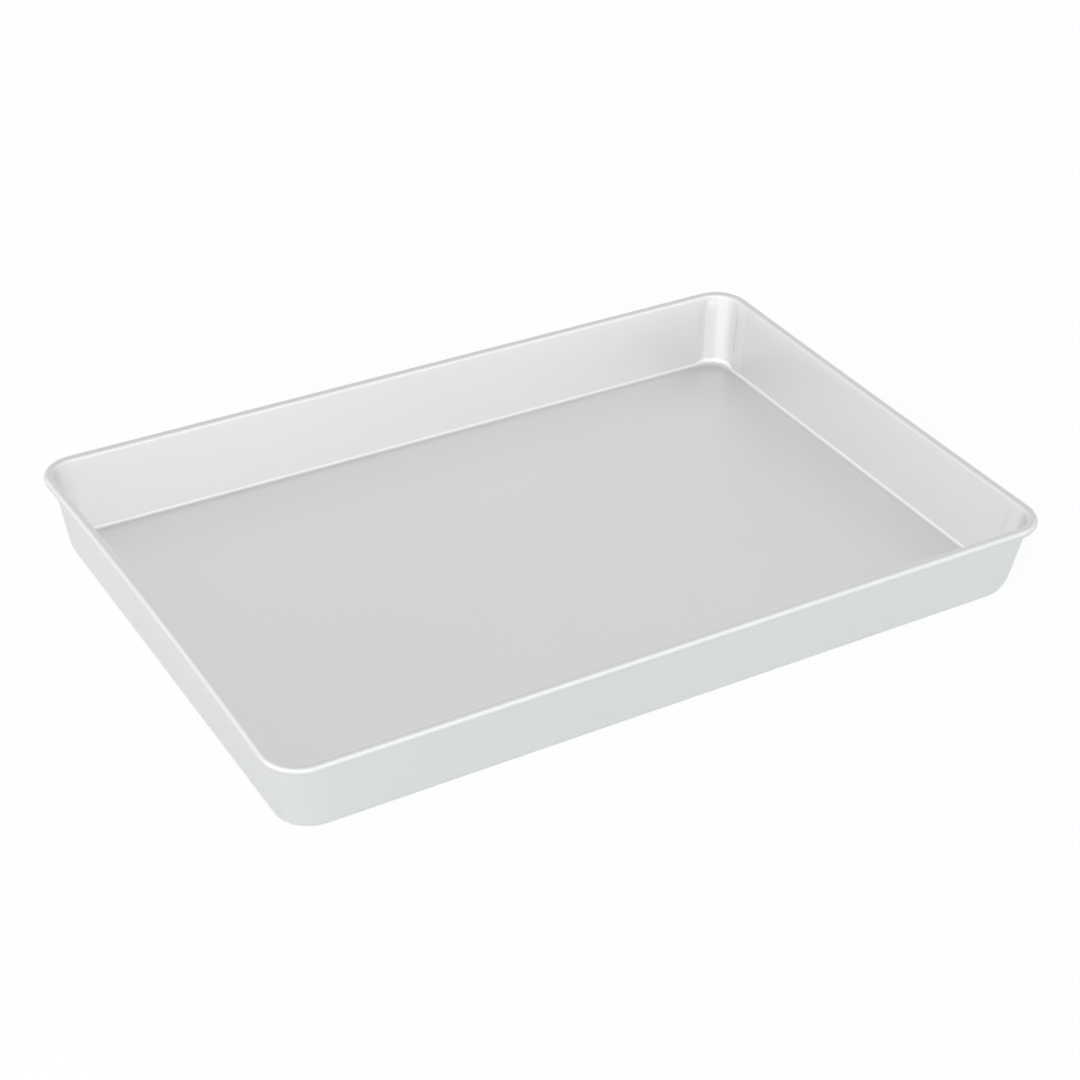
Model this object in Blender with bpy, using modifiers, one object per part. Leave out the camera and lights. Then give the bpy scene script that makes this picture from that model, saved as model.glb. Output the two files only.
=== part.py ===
"""Rectangular cake pan: one drawn aluminium sheet whose rim is rolled outwards round a steel wire.

Metres, +Z up. The origin is the middle of the flat underside, on the table. X runs along the pan's
length and Y along its width.
"""
from math import acos, copysign, cos, pi, radians, sin, tan

import bmesh
import bpy

# Overall sizes
RIM_LENGTH = 0.480  # along X, over the rolled rim
RIM_WIDTH = 0.3264  # along Y, over the rolled rim
PAN_HEIGHT = 0.0485  # from the table to the top of the rolled rim

# Drawn sheet
SHEET = 0.0012  # thickness of the aluminium
WALL_DRAFT = radians(7.85)  # how far each wall leans out from upright
RIM_CORNER = 0.0212  # corner radius seen from above, round the outside of the rolled rim
FOOT_CORNER = 0.0150  # corner radius seen from above, where the walls' inside faces meet the floor

# Floor's fillet: inside radius, tight along the straight sides and larger round the corners
SIDE_FILLET = 0.0026
CORNER_FILLET = 0.0063
BLEND_START = 0.0100  # from a corner's middle, along the rim, to where the larger fillet starts to shrink
BLEND_END = 0.0195  # and to where it has the sides' radius

# How far the rim of each end wall is drawn in at its middle, where the foot stays straight
LEFT_BOW = 0.0018  # the end at -X
RIGHT_BOW = 0.0006

# Rolled rim and the wire inside it
WIRE_DIAMETER = 0.0027
WIRE_CLEARANCE = 0.0003  # all round the wire, to the inside of the roll
WIRE_END_GAP = 0.0010  # between the wire's two ends, at the middle of the rim at +X
LIP_GAP = 0.0003  # slit between the roll's lip and the outside of the wall

# Fineness of the round shapes
CORNER_STEPS = 10  # over each quarter turn seen from above
HALF_END_STEPS = 4  # along each end wall, from its middle
ROLL_STEPS = 15  # round the roll's section
FILLET_STEPS = 6  # over the floor's fillet
CREASE_ANGLE = radians(35)  # edges sharper than this stay crisp

ROLL_RADIUS = WIRE_DIAMETER / 2 + WIRE_CLEARANCE + SHEET
WIRE_HEIGHT = PAN_HEIGHT - ROLL_RADIUS

# Where the wall's inside face leaves the roll: inset from the rim's outermost line, height and corner
THROAT_INSET = ROLL_RADIUS * (1 + cos(WALL_DRAFT))
THROAT_HEIGHT = WIRE_HEIGHT + ROLL_RADIUS * sin(WALL_DRAFT)
THROAT_CORNER = RIM_CORNER - THROAT_INSET

# Each corner's places run over its arc and one step onto the straight sides, where the blend ends
HALF_ARC = RIM_CORNER * pi / 4
SIDE_STEP = BLEND_END - HALF_ARC
END_STEPS = 2 * HALF_END_STEPS


def clear_scene():
    """Removes every object that the file starts with."""
    for item in list(bpy.data.objects):
        bpy.data.objects.remove(item, do_unlink=True)


def metal(name, color, roughness):
    """A plain metal finish."""
    material = bpy.data.materials.new(name)
    material.use_nodes = True
    shader = material.node_tree.nodes["Principled BSDF"]
    shader.inputs["Base Color"].default_value = (*color, 1.0)
    shader.inputs["Metallic"].default_value = 1.0
    shader.inputs["Roughness"].default_value = roughness
    return material


def places():
    """Places round the pan, counterclockwise from its +X side.

    Each is (share of the way to the corner's centre in X and Y, outward direction X and Y, shift along
    the straight side, distance along the rim from the corner's middle).
    """
    found = []
    for quarter, (side_x, side_y) in enumerate([(1, 1), (-1, 1), (-1, -1), (1, -1)]):
        for step in range(-1, CORNER_STEPS + 2):
            on_arc = min(max(step, 0), CORNER_STEPS)
            angle = pi / 2 * (quarter + on_arc / CORNER_STEPS)
            shift = (step - on_arc) * SIDE_STEP
            distance = abs(HALF_ARC * (2 * on_arc / CORNER_STEPS - 1) + shift)
            found.append((side_x, side_y, cos(angle), sin(angle), shift, distance))
        end_wall_follows = quarter in (1, 3)
        if end_wall_follows:
            for step in range(1, END_STEPS):
                found.append((side_x, side_y * (1 - 2 * step / END_STEPS), side_x, 0.0, 0.0, BLEND_END))
    return found


def drawn_in(x, y, height):
    """X of a point on an end wall with the wall's bow, which grows from the floor up to the roll."""
    straight = RIM_WIDTH / 2 - RIM_CORNER
    along = max(1 - (y / straight) ** 2, 0.0)
    rise = min((height - SHEET) / (PAN_HEIGHT - 2 * ROLL_RADIUS - SHEET), 1.0)
    bow = LEFT_BOW if x < 0 else RIGHT_BOW
    return x - copysign(bow * along * rise, x)


def point(place, inset, height, corner):
    """The point at a place, on the rounded rectangle of this inset from the rim and corner radius."""
    share_x, share_y, out_x, out_y, shift, _ = place
    x = share_x * (RIM_LENGTH / 2 - inset - corner) + corner * out_x - shift * out_y
    y = share_y * (RIM_WIDTH / 2 - inset - corner) + corner * out_y + shift * out_x
    return (drawn_in(x, y, height), y, height)


def roll_section():
    """The roll's visible face as (inset, height, corner radius), from its lip over the top to the wall."""
    wall_face = ROLL_RADIUS - SHEET
    lip_angle = acos((wall_face - LIP_GAP) / ROLL_RADIUS)
    sweep = 2 * pi - lip_angle
    section = []
    for step in range(ROLL_STEPS + 1):
        angle = WALL_DRAFT + sweep * (1 - step / ROLL_STEPS)
        inset = ROLL_RADIUS * (1 + cos(angle))
        section.append((inset, WIRE_HEIGHT + ROLL_RADIUS * sin(angle), RIM_CORNER - inset))
    return section


def fillet_radius(distance):
    """The fillet's radius at a distance along the rim from a corner's middle."""
    share = min(max((distance - BLEND_START) / (BLEND_END - BLEND_START), 0.0), 1.0)
    eased = share * share * (3 - 2 * share)
    return CORNER_FILLET + (SIDE_FILLET - CORNER_FILLET) * eased


def fillet_section(radius):
    """The floor's fillet, from its edge on the wall to its edge on the floor, in the roll's terms."""
    depth = THROAT_HEIGHT - SHEET
    foot_inset = THROAT_INSET + depth * tan(WALL_DRAFT)
    turn = pi / 2 - WALL_DRAFT
    centre_inset = foot_inset + radius * tan(turn / 2)
    # The walls' corners change evenly from the throat to the foot, and the fillet rounds in from there
    top_inset = centre_inset - radius * sin(turn)
    top_height = SHEET + radius * (1 - cos(turn))
    share = (THROAT_HEIGHT - top_height) / depth
    top_corner = THROAT_CORNER + (FOOT_CORNER - THROAT_CORNER) * share
    section = []
    for step in range(FILLET_STEPS + 1):
        angle = turn * (1 - step / FILLET_STEPS)
        inset = centre_inset - radius * sin(angle)
        height = SHEET + radius * (1 - cos(angle))
        # The arc keeps the corner's centre that the wall has at the fillet's edge
        section.append((inset, height, top_corner - (inset - top_inset)))
    return section


def visible_face():
    """The sheet's open face: roll, walls, fillet and floor, lofted through its section at each place."""
    mesh = bpy.data.meshes.new("pan_body")
    shape = bmesh.new()
    columns = []
    for place in places():
        section = roll_section() + fillet_section(fillet_radius(place[-1]))
        columns.append([shape.verts.new(point(place, *spot)) for spot in section])
    for column, after in zip(columns, columns[1:] + columns[:1]):
        for row in range(len(column) - 1):
            shape.faces.new((column[row], after[row], after[row + 1], column[row + 1]))
    shape.faces.new([column[-1] for column in columns])
    shape.to_mesh(mesh)
    shape.free()
    mesh.shade_smooth()
    mesh.set_sharp_from_angle(angle=CREASE_ANGLE)
    return mesh


def add_pan_body(parts, carrier):
    """The drawn sheet: its visible face, thickened outwards and downwards to the table."""
    body = bpy.data.objects.new("pan_body", visible_face())
    parts.objects.link(body)
    body.parent = carrier
    body.data.materials.append(metal("satin_anodised_aluminium", (0.79, 0.80, 0.80), 0.40))
    shell = body.modifiers.new("sheet", "SOLIDIFY")
    shell.thickness = SHEET
    shell.offset = -1.0
    shell.use_even_offset = True
    shell.use_quality_normals = True
    return body


def add_rim_wire(parts, carrier):
    """The reinforcing wire: one length bent round inside the roll, its ends meeting at the +X end."""
    outline = [point(place, ROLL_RADIUS, WIRE_HEIGHT, RIM_CORNER - ROLL_RADIUS) for place in places()]
    # The last places run along the +X end wall, so the one HALF_END_STEPS from the last is its middle
    middle_x, _, _ = outline.pop(-HALF_END_STEPS)
    after_middle = len(outline) - (HALF_END_STEPS - 1)
    first_end = (middle_x, WIRE_END_GAP / 2, WIRE_HEIGHT)
    last_end = (middle_x, -WIRE_END_GAP / 2, WIRE_HEIGHT)
    route = [first_end] + outline[after_middle:] + outline[:after_middle] + [last_end]
    curve = bpy.data.curves.new("rim_wire", "CURVE")
    curve.dimensions = "3D"
    spline = curve.splines.new("POLY")
    spline.points.add(len(route) - 1)
    for bend, spot in zip(spline.points, route):
        bend.co = (*spot, 1.0)
    curve.bevel_depth = WIRE_DIAMETER / 2
    curve.bevel_resolution = 2
    curve.use_fill_caps = True
    wire = bpy.data.objects.new("rim_wire", curve)
    parts.objects.link(wire)
    wire.parent = carrier
    curve.materials.append(metal("galvanised_steel", (0.56, 0.57, 0.58), 0.45))
    return wire


def main():
    clear_scene()
    parts = bpy.data.collections.new("rectangular_cake_pan")
    bpy.context.scene.collection.children.link(parts)
    carrier = bpy.data.objects.new("pan", None)
    parts.objects.link(carrier)
    add_pan_body(parts, carrier)
    add_rim_wire(parts, carrier)


main()
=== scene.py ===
"""Looks of the rectangular cake pan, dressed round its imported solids.

Metres, +Z up. The pan stands on the floor at the origin, its length along X and its width along Y.
The drawn sheet is made again as a finer mesh on the solid's own sizes, with the shallow marks that the
press leaves in its walls, and the wire in the rim keeps its place and gets its metal.
"""
from math import acos, copysign, cos, pi, radians, sin, tan

import bmesh
import bpy
from mathutils import Matrix, Vector, noise


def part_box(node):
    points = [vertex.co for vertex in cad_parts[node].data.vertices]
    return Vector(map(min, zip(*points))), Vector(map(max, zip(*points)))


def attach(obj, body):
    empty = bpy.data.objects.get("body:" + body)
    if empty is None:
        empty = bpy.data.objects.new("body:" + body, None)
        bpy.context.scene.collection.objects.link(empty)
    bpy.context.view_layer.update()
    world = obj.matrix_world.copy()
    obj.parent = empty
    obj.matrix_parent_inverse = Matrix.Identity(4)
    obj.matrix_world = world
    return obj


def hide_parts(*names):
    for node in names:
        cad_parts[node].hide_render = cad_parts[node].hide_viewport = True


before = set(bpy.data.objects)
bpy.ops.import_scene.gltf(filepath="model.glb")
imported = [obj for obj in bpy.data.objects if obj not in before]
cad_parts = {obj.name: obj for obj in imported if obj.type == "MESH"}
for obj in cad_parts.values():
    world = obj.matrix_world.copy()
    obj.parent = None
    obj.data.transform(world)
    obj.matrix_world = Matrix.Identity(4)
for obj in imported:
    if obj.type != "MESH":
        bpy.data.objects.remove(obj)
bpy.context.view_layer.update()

PAN_LOW, PAN_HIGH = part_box("pan_body")

# Sizes of the drawn sheet, as the solid has them
RIM_LENGTH = PAN_HIGH.x - PAN_LOW.x
RIM_WIDTH = PAN_HIGH.y - PAN_LOW.y
PAN_HEIGHT = PAN_HIGH.z
SHEET = 0.0012
WALL_DRAFT = radians(7.85)
RIM_CORNER = 0.0212
FOOT_CORNER = 0.0150
SIDE_FILLET = 0.0026
LEFT_BOW = 0.0018  # how far the rim of the end at -X is drawn in at its middle
RIGHT_BOW = 0.0006
ROLL_RADIUS = 0.00285
LIP_GAP = 0.0003
SKIN_CLEARANCE = 0.000001  # keeps the underside inside the solid's box

# The floor's fillets round the corners, by corner, counterclockwise from the one at +X and +Y. Each
# shrinks to the sides' fillet between two distances along the rim from its corner's middle.
CORNER_FILLETS = (0.0056, 0.0063, 0.0063, 0.0085)
BLEND_STARTS = (0.0100, 0.0060, 0.0060, 0.0040)
BLEND_END = 0.0220

# The roll's middle and foot, and the throat, where the wall's inside face leaves the roll: its inset
# from the rim's outermost line, its height and its corner radius
ROLL_HEIGHT = PAN_HEIGHT - ROLL_RADIUS
ROLL_FOOT = PAN_HEIGHT - 2 * ROLL_RADIUS
THROAT_INSET = ROLL_RADIUS * (1 + cos(WALL_DRAFT))
THROAT_HEIGHT = ROLL_HEIGHT + ROLL_RADIUS * sin(WALL_DRAFT)
THROAT_CORNER = RIM_CORNER - THROAT_INSET
HALF_ARC = RIM_CORNER * pi / 4  # from a corner's middle to its end, along the rim

# Fineness of the mesh
CORNER_STEPS = 48
FINE_STEP = 0.0005  # between the columns next to a corner
FINE_STEPS = 40
COARSE_STEPS = 44  # over the rest of each side
ROLL_STEPS = 32
WALL_STEPS = 22
FILLET_STEPS = 12
FLOOR_BORDER = 0.0010  # flat strip round the floor that keeps its edge even
FLOOR_RINGS = (0.0110, 0.0250)  # and flat rings further in, counted from the walls' feet
LEAST_CORNER = 0.002  # corner radius of the innermost ring
CREASE_ANGLE = radians(35)

# Marks of the press in the walls. A pair of values is the stretch over which a mark grows or fades: a
# height over the table where the name ends in FOOT or TOP, and a distance along the rim from the
# nearest corner's middle where it ends in NEAR or FAR. Shares are by corner, as above.

# Flats where each corner's bend begins. Places run along the rim from the corner's middle towards its
# long wall.
LONG_FLAT_MIDDLE = 0.0104
LONG_FLAT_WIDTH = 0.0104
LONG_FLAT_DEPTH = 0.00036
END_FLAT_MIDDLE = -0.0195
END_FLAT_WIDTH = 0.0100
END_FLAT_DEPTH = 0.00030
FLAT_LEAN = 0.0036  # how far both stand towards the end wall at the foot
FLAT_FOOT = (SHEET, 0.0030)
FLAT_TOP = (0.040, 0.045)
FLAT_SHARES = (1.0, 0.1, 0.2, 0.4)

# Flutes: fine upright marks on both sides of each corner
FLUTE_DEPTH = 0.00028
FLUTE_SPACING = 0.0022
FLUTE_DRIFT = 12.0  # how quickly a flute changes on its way up
FLUTE_FOOT = (0.005, 0.010)
FLUTE_TOP = (0.036, 0.043)
FLUTE_NEAR = (0.012, 0.017)
FLUTE_FAR = (0.022, 0.031)
FLUTE_SHARES = (1.0, 0.1, 0.25, 0.6)
CORNER_CHANGE = 17.3  # step in the noise from corner to corner, so that no two are alike

# Bulge: each wall stands into the pan at half its height, except next to the corners
BULGE_DEPTH = 0.0003
BULGE_NEAR = (0.02, 0.08)

# Waves: faint level marks low on the walls
WAVE_DEPTH = 0.00006
WAVE_HEIGHT = 0.0075
WAVE_LENGTH = 0.09
WAVE_BEND = 1.5  # how far a wave rises and falls along the wall
WAVE_PLACES = (5.1, 3.7)  # where the noise is read for that and for the wave
WAVE_CHANGE = (2.0, 3.0)  # how the noise changes in X and in Y, so that no two walls are alike
WAVE_FOOT = (0.007, 0.012)
WAVE_TOP = (0.022, 0.036)
WAVE_NEAR = (0.02, 0.06)

# Satin anodised sheet
SHEET_DARK = (0.786, 0.794, 0.791, 1.0)
SHEET_LIGHT = (0.804, 0.811, 0.808, 1.0)
SHEET_ROUGHNESS = (0.38, 0.42)  # from grain to grain
PATCH_ROUGHNESS = (-0.02, 0.02)  # and more or less in patches
ROLL_DULLNESS = 0.16  # added to the roughness on the roll
ROLL_DARKNESS = 0.04  # taken off the colour there, as a share
FILLET_DULLNESS = 0.08
PAINTED_WALL_LIGHT_SHARES = (-0.015, 0.06)  # painted light, added to the colour of the long walls' inside from the foot to the top: darker low down, lighter high up where more light falls
CLOUD_SCALE = 14.0
CLOUD_DETAIL = 3.0
GRAIN_SCALE = 1800.0
GRAIN_HARSHNESS = 0.6
DRAW_SCALES = (420.0, 420.0, 14.0)  # long upright streaks
GRAIN_BUMP = 0.25
GRAIN_HEIGHT = 0.00002

# Stretches over which the sheet's masks go from 0 to 1. Those for the outside and for the long walls'
# inside are distances from the pan's middle along the surface's normal, and the rest are heights.
THROAT_SOFTNESS = 0.0004
OUTSIDE_EDGE = (-0.01, 0.01)
LONG_WALL_EDGE = (-0.05, -0.13)
OUTER_ROLL_EDGE = (ROLL_FOOT, ROLL_FOOT + 0.3 * ROLL_RADIUS)
INNER_ROLL_EDGE = (THROAT_HEIGHT - THROAT_SOFTNESS, THROAT_HEIGHT + THROAT_SOFTNESS)
FILLET_LOW_EDGE = (1.1 * SHEET, 1.6 * SHEET)
FILLET_HIGH_EDGE = (0.0050, 0.0025)

# Galvanised wire
WIRE_DARK = (0.50, 0.51, 0.52, 1.0)
WIRE_LIGHT = (0.60, 0.61, 0.62, 1.0)
WIRE_ROUGHNESS = (0.38, 0.52)
CRYSTAL_SCALE = 700.0

# Camera, looking from the front and the left
CAMERA_AZIMUTH = radians(-31.473)
CAMERA_ELEVATION = radians(33.148)
CAMERA_ROLL = radians(1.822)
CAMERA_TARGET = Vector((-0.00567, -0.01214, 0.025))
CAMERA_DISTANCE = 1.36676
CAMERA_LENS = 80.306
CAMERA_SENSOR = 36.0

# Floor of the studio
FLOOR_RADIUS = 8.0
FLOOR_SIDES = 96
FLOOR_COLOR = (0.885, 0.91, 0.924, 1.0)
FLOOR_PAINTED_LIGHT_LEFT = (0.98, 0.98, 0.965, 1.0)  # painted light: past the pan's left end the floor is painted lighter and warmer, standing in for more light there, which the pan's left end shows in its reflection
FLOOR_TO_LEFT = (-0.9, 0.44, 0.0)
FLOOR_CHANGE = (0.12, 0.24)  # where it changes, in metres that way from the pan's middle
FLOOR_WHITE = 0.92  # share of plain white that the camera sees in the floor
FLOOR_SHEEN = 0.15  # and that the metal sees

# Light: a dome, and soft boxes in a half ring on the camera's side. 1 is as bright as white paper.
ZENITH_LEVEL = 0.66
HORIZON_LEVEL = 0.92
BOX_DISTANCE = 3.0
BOX_ELEVATION = radians(21.0)
BOX_WIDTH = 2.2
BOX_HEIGHT = 2.2
SOFT_BOXES = (  # name, turn from the camera's side in degrees, level
    ("front_box", 0, 0.92),
    ("front_left_box", -45, 1.0),
    ("front_right_box", 45, 0.84),
    ("left_box", -90, 0.57),
    ("right_box", 90, 0.35),
)


def smooth_step(low, high, value):
    """0 below low, 1 above high, and an even curve between."""
    share = min(max((value - low) / (high - low), 0.0), 1.0)
    return share * share * (3 - 2 * share)


def between(start, end, value):
    """1 past the start pair and before the end pair, and 0 outside them."""
    return smooth_step(*start, value) * (1 - smooth_step(*end, value))


def hump(share):
    """0 at 0 and 1, 1 halfway, and 0 outside."""
    return max(4 * share * (1 - share), 0.0)


def side_distances(straight):
    """Places of the mesh's columns along a straight side, close together near the corners."""
    near = [FINE_STEP * step for step in range(1, FINE_STEPS + 1)]
    reach = straight - 2 * near[-1]
    middle = [near[-1] + reach * step / COARSE_STEPS for step in range(1, COARSE_STEPS)]
    return near + middle + [straight - gone for gone in reversed(near)]


def rim_columns():
    """Places round the pan, counterclockwise from its +X side.

    Each is (share of the reach in X, the same in Y, outward direction X and Y, corner number, distance
    along the rim from that corner's middle).
    """
    signs = [(1, 1), (-1, 1), (-1, -1), (1, -1)]
    lengths = [RIM_LENGTH, RIM_WIDTH] * 2
    columns = []
    for quarter, (sign_x, sign_y) in enumerate(signs):
        for step in range(CORNER_STEPS + 1):
            turn = step / CORNER_STEPS
            angle = pi / 2 * (quarter + turn)
            columns.append((sign_x, sign_y, cos(angle), sin(angle), quarter, HALF_ARC * (2 * turn - 1)))
        straight = lengths[quarter] - 2 * RIM_CORNER
        following = (quarter + 1) % 4
        next_x, next_y = signs[following]
        angle = pi / 2 * (quarter + 1)
        for gone in side_distances(straight):
            share = gone / straight
            near = quarter if share < 0.5 else following
            along = gone + HALF_ARC if share < 0.5 else gone - straight - HALF_ARC
            column_x = sign_x + (next_x - sign_x) * share
            column_y = sign_y + (next_y - sign_y) * share
            columns.append((column_x, column_y, cos(angle), sin(angle), near, along))
    return columns


def flat_mark(corner, along, height):
    """How far the flats of a corner stand into the pan."""
    towards_long = along if corner % 2 == 0 else -along
    towards_long += FLAT_LEAN * (1 - height / PAN_HEIGHT)
    long_flat = LONG_FLAT_DEPTH * hump((towards_long - LONG_FLAT_MIDDLE) / LONG_FLAT_WIDTH + 0.5)
    end_flat = END_FLAT_DEPTH * hump((towards_long - END_FLAT_MIDDLE) / END_FLAT_WIDTH + 0.5)
    return FLAT_SHARES[corner] * (long_flat + end_flat) * between(FLAT_FOOT, FLAT_TOP, height)


def flute_mark(corner, along, height):
    """How far the flutes beside a corner stand into the pan."""
    flute = noise.noise(Vector((along / FLUTE_SPACING, corner * CORNER_CHANGE, height * FLUTE_DRIFT)))
    shown = between(FLUTE_NEAR, FLUTE_FAR, abs(along)) * between(FLUTE_FOOT, FLUTE_TOP, height)
    return FLUTE_SHARES[corner] * FLUTE_DEPTH * flute * shown


def wave_mark(share_x, share_y, along, height):
    """How far the waves low on a wall stand into the pan."""
    place_x = share_x * RIM_LENGTH / WAVE_LENGTH
    place_y = share_y * RIM_WIDTH / WAVE_LENGTH
    bend = WAVE_BEND * noise.noise(Vector((place_x, place_y, WAVE_PLACES[0]))) + WAVE_PLACES[1]
    change = share_x * WAVE_CHANGE[0] + share_y * WAVE_CHANGE[1]
    wave = noise.noise(Vector((bend, height / WAVE_HEIGHT, change)))
    return WAVE_DEPTH * wave * between(WAVE_FOOT, WAVE_TOP, height) * smooth_step(*WAVE_NEAR, abs(along))


def press_mark(column, height):
    """How far the sheet stands into the pan at a place on its wall."""
    share_x, share_y, _, _, corner, along = column
    rise = hump((height - SHEET) / (THROAT_HEIGHT - SHEET))
    bulge = BULGE_DEPTH * rise * smooth_step(*BULGE_NEAR, abs(along))
    marks = flat_mark(corner, along, height) + flute_mark(corner, along, height)
    return marks + bulge + wave_mark(share_x, share_y, along, height)


def roll_section():
    """The roll's outer face as (inset, height, corner radius), from its lip over the top to the wall."""
    lip_angle = acos((ROLL_RADIUS - SHEET - LIP_GAP) / ROLL_RADIUS)
    sweep = 2 * pi - lip_angle
    section = []
    for step in range(ROLL_STEPS + 1):
        angle = WALL_DRAFT + sweep * (1 - step / ROLL_STEPS)
        inset = ROLL_RADIUS * (1 + cos(angle))
        section.append((inset, ROLL_HEIGHT + ROLL_RADIUS * sin(angle), RIM_CORNER - inset))
    return section


def fillet_radius(corner, distance):
    """The floor fillet's inside radius at a distance along the rim from a corner's middle."""
    most = CORNER_FILLETS[corner]
    return most + (SIDE_FILLET - most) * smooth_step(BLEND_STARTS[corner], BLEND_END, distance)


def wall_and_fillet(radius):
    """The wall's inside face below the throat, then the floor's fillet and rings, in the same terms."""
    depth = THROAT_HEIGHT - SHEET
    turn = pi / 2 - WALL_DRAFT
    foot_inset = THROAT_INSET + depth * tan(WALL_DRAFT)
    centre_inset = foot_inset + radius * tan(turn / 2)
    top_height = SHEET + radius * (1 - cos(turn))
    section = []
    for step in range(1, WALL_STEPS):
        height = THROAT_HEIGHT + (top_height - THROAT_HEIGHT) * step / WALL_STEPS
        share = (THROAT_HEIGHT - height) / depth
        inset = THROAT_INSET + (THROAT_HEIGHT - height) * tan(WALL_DRAFT)
        section.append((inset, height, THROAT_CORNER + (FOOT_CORNER - THROAT_CORNER) * share))
    top_inset = centre_inset - radius * sin(turn)
    top_corner = THROAT_CORNER + (FOOT_CORNER - THROAT_CORNER) * (THROAT_HEIGHT - top_height) / depth
    for step in range(FILLET_STEPS + 1):
        angle = turn * (1 - step / FILLET_STEPS)
        inset = centre_inset - radius * sin(angle)
        height = SHEET + radius * (1 - cos(angle))
        section.append((inset, height, top_corner - (inset - top_inset)))
    edge_inset, edge_height, edge_corner = section[-1]
    section.append((edge_inset + FLOOR_BORDER, edge_height, edge_corner - FLOOR_BORDER))
    for ring in FLOOR_RINGS:
        section.append((foot_inset + ring, edge_height, max(FOOT_CORNER - ring, LEAST_CORNER)))
    return section


def drawn_in(x, y, height):
    """X of a point on an end wall with the wall's bow, which grows from the floor up to the roll."""
    straight = RIM_WIDTH / 2 - RIM_CORNER
    along = max(1 - (y / straight) ** 2, 0.0)
    rise = min((height - SHEET) / (ROLL_FOOT - SHEET), 1.0)
    bow = LEFT_BOW if x < 0 else RIGHT_BOW
    return x - copysign(bow * along * rise, x)


def open_face():
    """The sheet's open face as a mesh: roll, walls, fillet and floor."""
    rolled = roll_section()
    shape = bmesh.new()
    columns = []
    for place in rim_columns():
        share_x, share_y, out_x, out_y, nearest, along = place
        drawn = wall_and_fillet(fillet_radius(nearest, abs(along)))
        column = []
        for order, (inset, height, corner) in enumerate(rolled + drawn):
            reach_x = RIM_LENGTH / 2 - inset - corner
            reach_y = RIM_WIDTH / 2 - inset - corner
            if order >= len(rolled):
                corner -= press_mark(place, height)
            x = share_x * reach_x + corner * out_x
            y = share_y * reach_y + corner * out_y
            column.append(shape.verts.new((drawn_in(x, y, height), y, height)))
        columns.append(column)
    for column, after in zip(columns, columns[1:] + columns[:1]):
        for row in range(len(column) - 1):
            shape.faces.new((column[row], after[row], after[row + 1], column[row + 1]))
    shape.faces.new([column[-1] for column in columns])
    mesh = bpy.data.meshes.new("open_face")
    shape.to_mesh(mesh)
    shape.free()
    return mesh


def link(item):
    """Puts an object into the scene."""
    bpy.context.scene.collection.objects.link(item)
    return item


def drawn_sheet():
    """The sheet with its thickness, as one closed shell."""
    cage = link(bpy.data.objects.new("cage", open_face()))
    shell = cage.modifiers.new("sheet", "SOLIDIFY")
    shell.thickness = SHEET - SKIN_CLEARANCE
    shell.offset = -1.0
    shell.use_even_offset = True
    shell.use_quality_normals = True
    bpy.context.view_layer.update()
    evaluated = cage.evaluated_get(bpy.context.evaluated_depsgraph_get())
    mesh = bpy.data.meshes.new_from_object(evaluated)
    bpy.data.objects.remove(cage, do_unlink=True)
    mesh.name = "drawn_sheet"
    mesh.shade_smooth()
    mesh.set_sharp_from_angle(angle=CREASE_ANGLE)
    return link(bpy.data.objects.new("drawn_sheet", mesh))


class Nodes:
    """Short calls for building a node tree. A value is a number, a tuple or another node's output."""

    def __init__(self, tree):
        self.tree = tree

    def add(self, kind, **values):
        node = self.tree.nodes.new(kind)
        for name, value in values.items():
            setattr(node, name, value)
        return node

    def put(self, socket, value):
        """Gives a value to a socket."""
        if isinstance(value, (int, float, tuple)):
            socket.default_value = value
        else:
            self.tree.links.new(value, socket)

    def math(self, operation, first, second=0.0):
        node = self.add("ShaderNodeMath", operation=operation)
        self.put(node.inputs[0], first)
        self.put(node.inputs[1], second)
        return node.outputs[0]

    def dot(self, first, second):
        node = self.add("ShaderNodeVectorMath", operation="DOT_PRODUCT")
        self.put(node.inputs[0], first)
        self.put(node.inputs[1], second)
        return node.outputs["Value"]

    def scaled(self, vector, scale):
        node = self.add("ShaderNodeVectorMath", operation="SCALE")
        self.put(node.inputs[0], vector)
        self.put(node.inputs["Scale"], scale)
        return node.outputs["Vector"]

    def stretched(self, vector, scales):
        node = self.add("ShaderNodeMapping")
        self.put(node.inputs["Vector"], vector)
        node.inputs["Scale"].default_value = scales
        return node.outputs["Vector"]

    def height(self, vector):
        node = self.add("ShaderNodeSeparateXYZ")
        self.put(node.inputs["Vector"], vector)
        return node.outputs["Z"]

    def noise(self, vector, scale, detail=2.0, roughness=0.5):
        node = self.add("ShaderNodeTexNoise")
        self.put(node.inputs["Vector"], vector)
        node.inputs["Scale"].default_value = scale
        node.inputs["Detail"].default_value = detail
        node.inputs["Roughness"].default_value = roughness
        return node.outputs["Fac"]

    def mix(self, factor, first, second):
        """A colour between two. The node has its colours at inputs 6 and 7 and at output 2."""
        node = self.add("ShaderNodeMix", data_type="RGBA")
        self.put(node.inputs["Factor"], factor)
        self.put(node.inputs[6], first)
        self.put(node.inputs[7], second)
        return node.outputs[2]

    def ramp(self, value, start, end):
        """0 before start, 1 after end."""
        node = self.add("ShaderNodeMapRange")
        self.put(node.inputs["Value"], value)
        node.inputs["From Min"].default_value = start
        node.inputs["From Max"].default_value = end
        return node.outputs["Result"]

    def spread(self, value, low, high):
        """Maps 0 to 1 onto low to high."""
        node = self.add("ShaderNodeMapRange")
        self.put(node.inputs["Value"], value)
        node.inputs["To Min"].default_value = low
        node.inputs["To Max"].default_value = high
        return node.outputs["Result"]


def new_material(name):
    material = bpy.data.materials.new(name)
    material.use_nodes = True
    nodes = Nodes(material.node_tree)
    return material, nodes, material.node_tree.nodes["Principled BSDF"]


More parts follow.
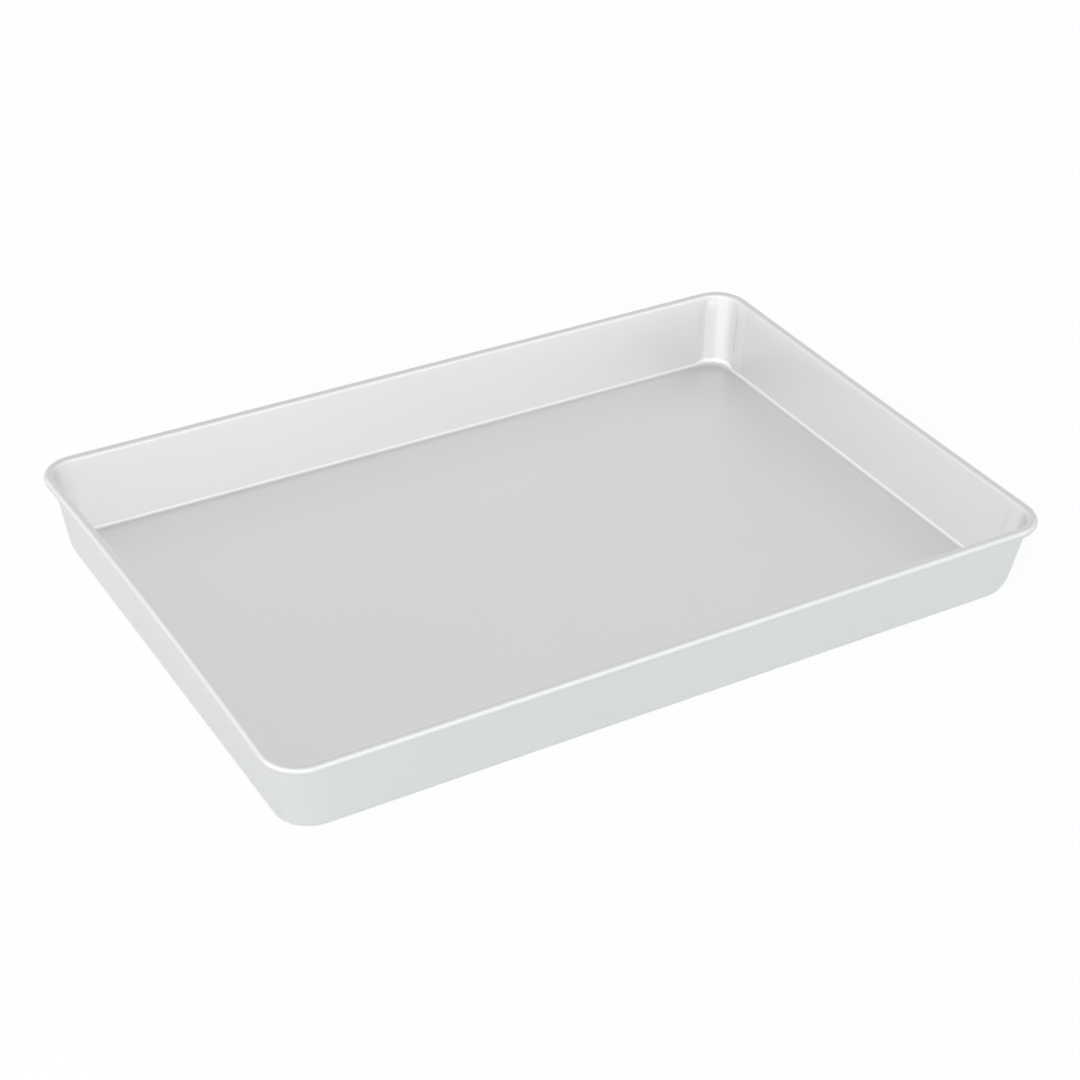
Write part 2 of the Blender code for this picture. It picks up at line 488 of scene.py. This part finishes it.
def anodised_aluminium():
    """Satin anodised sheet: fine even grain, duller where the press has stretched it round a bend, with
    painted light on the long walls' inside, lighter towards the top.
    """
    material, nodes, shader = new_material("anodised_sheet")
    place = nodes.add("ShaderNodeTexCoord").outputs["Object"]
    normal = nodes.add("ShaderNodeNewGeometry").outputs["Normal"]
    height = nodes.height(place)

    # Masks: the roll, the fillet round the floor, and the inside of the two long walls
    outside = nodes.ramp(nodes.dot(normal, place), *OUTSIDE_EDGE)
    outer_roll = nodes.math("MULTIPLY", outside, nodes.ramp(height, *OUTER_ROLL_EDGE))
    rolled = nodes.math("MAXIMUM", outer_roll, nodes.ramp(height, *INNER_ROLL_EDGE))
    above_floor = nodes.ramp(height, *FILLET_LOW_EDGE)
    bent = nodes.math("MULTIPLY", above_floor, nodes.ramp(height, *FILLET_HIGH_EDGE))
    only_across = nodes.stretched(place, (0.0, 1.0, 0.0))
    inner_long_wall = nodes.ramp(nodes.dot(normal, only_across), *LONG_WALL_EDGE)

    # Noises: patches, fine grain and long upright streaks
    cloud = nodes.noise(place, CLOUD_SCALE, detail=CLOUD_DETAIL)
    grain = nodes.noise(place, GRAIN_SCALE, roughness=GRAIN_HARSHNESS)
    draw = nodes.noise(nodes.stretched(place, DRAW_SCALES), 1.0)

    # Painted light: the long walls' inside is darker at the foot and lighter towards the top, standing in
    # for the light that reaches the upper walls. The roll's colour is also taken down a little.
    painted_wall_light_and_roll_tone = nodes.spread(nodes.ramp(height, SHEET, ROLL_FOOT), *PAINTED_WALL_LIGHT_SHARES)
    painted_wall_light_and_roll_tone = nodes.math("MULTIPLY", inner_long_wall, painted_wall_light_and_roll_tone)
    painted_wall_light_and_roll_tone = nodes.math("SUBTRACT", painted_wall_light_and_roll_tone, nodes.math("MULTIPLY", rolled, ROLL_DARKNESS))
    tint = nodes.mix(cloud, SHEET_DARK, SHEET_LIGHT)
    nodes.put(shader.inputs["Base Color"], nodes.scaled(tint, nodes.math("ADD", painted_wall_light_and_roll_tone, 1.0)))
    shader.inputs["Metallic"].default_value = 1.0

    patchy = nodes.spread(cloud, *PATCH_ROUGHNESS)
    patchy = nodes.math("ADD", patchy, nodes.spread(draw, *PATCH_ROUGHNESS))
    rough = nodes.math("ADD", patchy, nodes.spread(grain, *SHEET_ROUGHNESS))
    dull = nodes.math("MULTIPLY", rolled, ROLL_DULLNESS)
    dull = nodes.math("MAXIMUM", dull, nodes.math("MULTIPLY", bent, FILLET_DULLNESS))
    nodes.put(shader.inputs["Roughness"], nodes.math("ADD", rough, dull))

    bump = nodes.add("ShaderNodeBump")
    bump.inputs["Strength"].default_value = GRAIN_BUMP
    bump.inputs["Distance"].default_value = GRAIN_HEIGHT
    nodes.put(bump.inputs["Height"], grain)
    nodes.put(shader.inputs["Normal"], bump.outputs["Normal"])
    return material


def galvanised_steel():
    """Galvanised wire: dull grey with small crystals."""
    material, nodes, shader = new_material("galvanised_steel_wire")
    crystal = nodes.add("ShaderNodeTexVoronoi")
    nodes.put(crystal.inputs["Vector"], nodes.add("ShaderNodeTexCoord").outputs["Object"])
    crystal.inputs["Scale"].default_value = CRYSTAL_SCALE
    distance = crystal.outputs["Distance"]
    nodes.put(shader.inputs["Base Color"], nodes.mix(distance, WIRE_DARK, WIRE_LIGHT))
    shader.inputs["Metallic"].default_value = 1.0
    nodes.put(shader.inputs["Roughness"], nodes.spread(distance, *WIRE_ROUGHNESS))
    return material


def white_floor():
    """Pale matte floor that shows white and still takes the pan's shadow, with painted light past the
    pan's left end.
    """
    material, nodes, shader = new_material("pale_floor")
    material.node_tree.nodes.remove(shader)
    place = nodes.add("ShaderNodeTexCoord").outputs["Object"]
    # Painted light: past the pan's left end the floor is lighter and warmer, for the pan's walls to
    # reflect
    left = nodes.ramp(nodes.dot(place, FLOOR_TO_LEFT), *FLOOR_CHANGE)
    surface = nodes.add("ShaderNodeBsdfDiffuse")
    nodes.put(surface.inputs["Color"], nodes.mix(left, FLOOR_COLOR, FLOOR_PAINTED_LIGHT_LEFT))
    white = nodes.add("ShaderNodeEmission")
    rays = nodes.add("ShaderNodeLightPath").outputs
    seen = nodes.math("MAXIMUM", rays["Is Camera Ray"], rays["Is Transmission Ray"])
    shown = nodes.math("MULTIPLY", seen, FLOOR_WHITE)
    mirrored = nodes.math("MULTIPLY", rays["Is Glossy Ray"], FLOOR_SHEEN)
    blend = nodes.add("ShaderNodeMixShader")
    nodes.put(blend.inputs["Fac"], nodes.math("MAXIMUM", shown, mirrored))
    nodes.put(blend.inputs[1], surface.outputs["BSDF"])
    nodes.put(blend.inputs[2], white.outputs["Emission"])
    nodes.put(material.node_tree.nodes["Material Output"].inputs["Surface"], blend.outputs["Shader"])
    return material


def add_floor():
    """A round floor under the pan."""
    mesh = bpy.data.meshes.new("floor")
    shape = bmesh.new()
    bmesh.ops.create_circle(shape, cap_ends=True, segments=FLOOR_SIDES, radius=FLOOR_RADIUS)
    shape.to_mesh(mesh)
    shape.free()
    floor = link(bpy.data.objects.new("floor", mesh))
    mesh.materials.append(white_floor())


def direction(azimuth, elevation):
    """Unit vector towards an azimuth, as the camera counts it, and an elevation, both in radians."""
    level = cos(elevation)
    return Vector((sin(azimuth) * level, -cos(azimuth) * level, sin(elevation)))


def add_soft_box(name, turn, level):
    """A rectangular lamp that faces the pan."""
    lamp = bpy.data.lights.new(name, "AREA")
    lamp.shape = "RECTANGLE"
    lamp.size = BOX_WIDTH
    lamp.size_y = BOX_HEIGHT
    lamp.energy = level * pi * BOX_WIDTH * BOX_HEIGHT
    item = link(bpy.data.objects.new(name, lamp))
    away = direction(CAMERA_AZIMUTH + radians(turn), BOX_ELEVATION)
    item.location = away * BOX_DISTANCE
    item.rotation_euler = away.to_track_quat("Z", "Y").to_euler()


def set_world():
    """A plain pale dome, a little brighter towards the horizon."""
    world = bpy.data.worlds.new("studio")
    world.use_nodes = True
    nodes = Nodes(world.node_tree)
    up = nodes.height(nodes.add("ShaderNodeTexCoord").outputs["Generated"])
    background = world.node_tree.nodes["Background"]
    level = nodes.spread(nodes.math("MULTIPLY", up, up), HORIZON_LEVEL, ZENITH_LEVEL)
    nodes.put(background.inputs["Color"], level)
    background.inputs["Strength"].default_value = 1.0
    bpy.context.scene.world = world


def add_camera():
    """The camera that matches the photo's view of the pan."""
    data = bpy.data.cameras.new("camera")
    data.lens = CAMERA_LENS
    data.sensor_width = CAMERA_SENSOR
    back = direction(CAMERA_AZIMUTH, CAMERA_ELEVATION)
    right = Vector((cos(CAMERA_AZIMUTH), sin(CAMERA_AZIMUTH), 0.0))
    up = back.cross(right)
    rolled_right = right * cos(CAMERA_ROLL) + up * sin(CAMERA_ROLL)
    rolled_up = up * cos(CAMERA_ROLL) - right * sin(CAMERA_ROLL)
    camera = link(bpy.data.objects.new("camera", data))
    place = Matrix((rolled_right, rolled_up, back)).transposed().to_4x4()
    place.translation = CAMERA_TARGET + back * CAMERA_DISTANCE
    camera.matrix_world = place
    bpy.context.scene.camera = camera


def dress_pan():
    """The drawn sheet in place of the solid's, and the wire's metal."""
    pan = drawn_sheet()
    pan.data.materials.clear()
    pan.data.materials.append(anodised_aluminium())
    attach(pan, "root")
    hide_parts("pan_body")
    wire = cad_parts["rim_wire"]
    for place in wire.material_slots:
        place.material = galvanised_steel()


dress_pan()
add_floor()
for name, turn, level in SOFT_BOXES:
    add_soft_box(name, turn, level)
set_world()
add_camera()

settings = bpy.context.scene.view_settings
settings.view_transform = "Standard"
